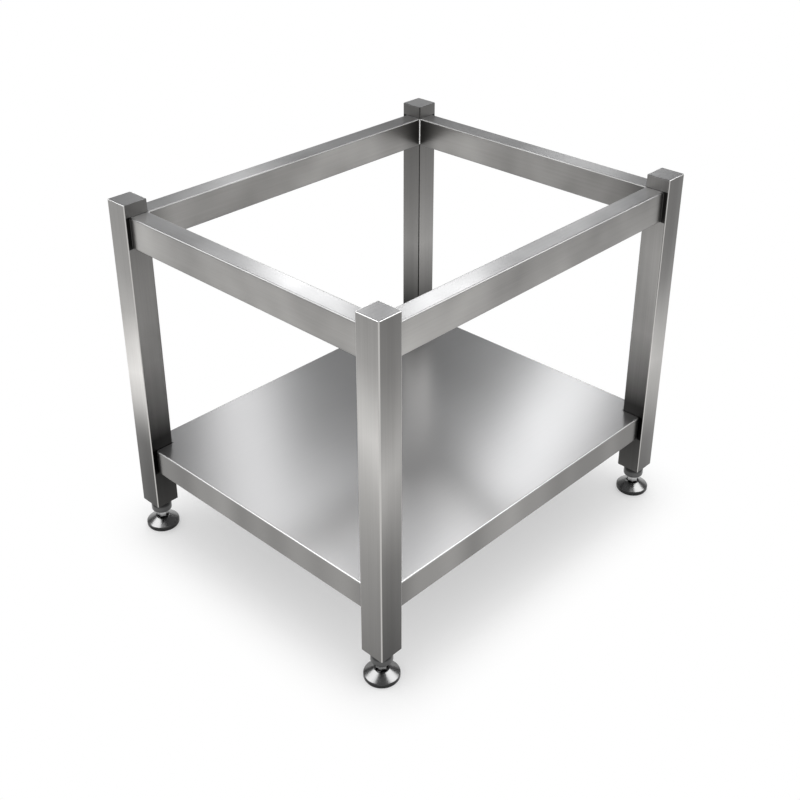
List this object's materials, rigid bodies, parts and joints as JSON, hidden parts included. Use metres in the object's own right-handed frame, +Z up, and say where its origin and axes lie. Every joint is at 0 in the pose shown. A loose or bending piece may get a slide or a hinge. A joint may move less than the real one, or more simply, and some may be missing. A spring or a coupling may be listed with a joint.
{
  "type": "outdoor pizza oven table",
  "caption": "Square-tube stainless steel stand with an open top frame that carries an oven, a folded undershelf and levelling feet that screw out.",
  "frame": {"origin": "on the floor, under the middle of the stand", "axes": "+X to the right along the longer side, +Y from the front to the back, +Z up"},
  "size_m": [0.662, 0.552, 0.57],
  "materials": {
    "frame_steel": "brushed along each tube",
    "cap_steel": "brushed",
    "shelf_steel": "satin, brushed along the longer side",
    "stiffener_steel": "mill",
    "bracket_steel": "mill",
    "fasteners": "plain",
    "insert_steel": "turned, satin",
    "spindle_steel": "bright",
    "foot_polished": "polished",
    "sole_rubber": "matt"
  },
  "bodies": {
    "stand": {"leg_front_left": "frame_steel", "leg_front_right": "frame_steel", "leg_back_left": "frame_steel", "leg_back_right": "frame_steel", "leg_cap_front_left": "cap_steel", "leg_cap_front_right": "cap_steel", "leg_cap_back_left": "cap_steel", "leg_cap_back_right": "cap_steel", "rail_front": "frame_steel", "rail_back": "frame_steel", "rail_left": "frame_steel", "rail_right": "frame_steel", "undershelf": "shelf_steel", "shelf_stiffener_front": "stiffener_steel", "shelf_stiffener_back": "stiffener_steel", "shelf_bracket_front_left": "bracket_steel", "shelf_bracket_front_right": "bracket_steel", "shelf_bracket_back_left": "bracket_steel", "shelf_bracket_back_right": "bracket_steel", "shelf_studs": "fasteners", "shelf_washers": "fasteners", "shelf_nuts": "fasteners", "foot_insert_front_left": "insert_steel", "foot_insert_front_right": "insert_steel", "foot_insert_back_left": "insert_steel", "foot_insert_back_right": "insert_steel"},
    "foot_front_left": {"foot_base_front_left": "foot_polished", "foot_sole_front_left": "sole_rubber"},
    "spindle_front_left": {"foot_spindle_front_left": "spindle_steel"},
    "foot_front_right": {"foot_base_front_right": "foot_polished", "foot_sole_front_right": "sole_rubber"},
    "spindle_front_right": {"foot_spindle_front_right": "spindle_steel"},
    "foot_back_left": {"foot_base_back_left": "foot_polished", "foot_sole_back_left": "sole_rubber"},
    "spindle_back_left": {"foot_spindle_back_left": "spindle_steel"},
    "foot_back_right": {"foot_base_back_right": "foot_polished", "foot_sole_back_right": "sole_rubber"},
    "spindle_back_right": {"foot_spindle_back_right": "spindle_steel"}
  },
  "joints": [
    {"name": "foot_travel_front_left", "type": "slide", "parent": "stand", "child": "foot_front_left", "axis": [0, 0, -1], "range_m": [0, 0.0245]},
    {"name": "spindle_turn_front_left", "type": "hinge", "parent": "foot_front_left", "child": "spindle_front_left", "pos_m": [-0.305, -0.25, 0.02], "axis": [0, 0, -1], "range_deg": [0, 5040]},
    {"name": "foot_travel_front_right", "type": "slide", "parent": "stand", "child": "foot_front_right", "axis": [0, 0, -1], "range_m": [0, 0.0245]},
    {"name": "spindle_turn_front_right", "type": "hinge", "parent": "foot_front_right", "child": "spindle_front_right", "pos_m": [0.305, -0.25, 0.02], "axis": [0, 0, -1], "range_deg": [0, 5040]},
    {"name": "foot_travel_back_left", "type": "slide", "parent": "stand", "child": "foot_back_left", "axis": [0, 0, -1], "range_m": [0, 0.0245]},
    {"name": "spindle_turn_back_left", "type": "hinge", "parent": "foot_back_left", "child": "spindle_back_left", "pos_m": [-0.305, 0.25, 0.02], "axis": [0, 0, -1], "range_deg": [0, 5040]},
    {"name": "foot_travel_back_right", "type": "slide", "parent": "stand", "child": "foot_back_right", "axis": [0, 0, -1], "range_m": [0, 0.0245]},
    {"name": "spindle_turn_back_right", "type": "hinge", "parent": "foot_back_right", "child": "spindle_back_right", "pos_m": [0.305, 0.25, 0.02], "axis": [0, 0, -1], "range_deg": [0, 5040]}
  ],
  "couplings": [
    {"joint": "spindle_turn_front_left", "follows": "foot_travel_front_left", "rad_per_m": 3590.4},
    {"joint": "spindle_turn_front_right", "follows": "foot_travel_front_right", "rad_per_m": 3590.4},
    {"joint": "spindle_turn_back_left", "follows": "foot_travel_back_left", "rad_per_m": 3590.4},
    {"joint": "spindle_turn_back_right", "follows": "foot_travel_back_right", "rad_per_m": 3590.4}
  ]
}
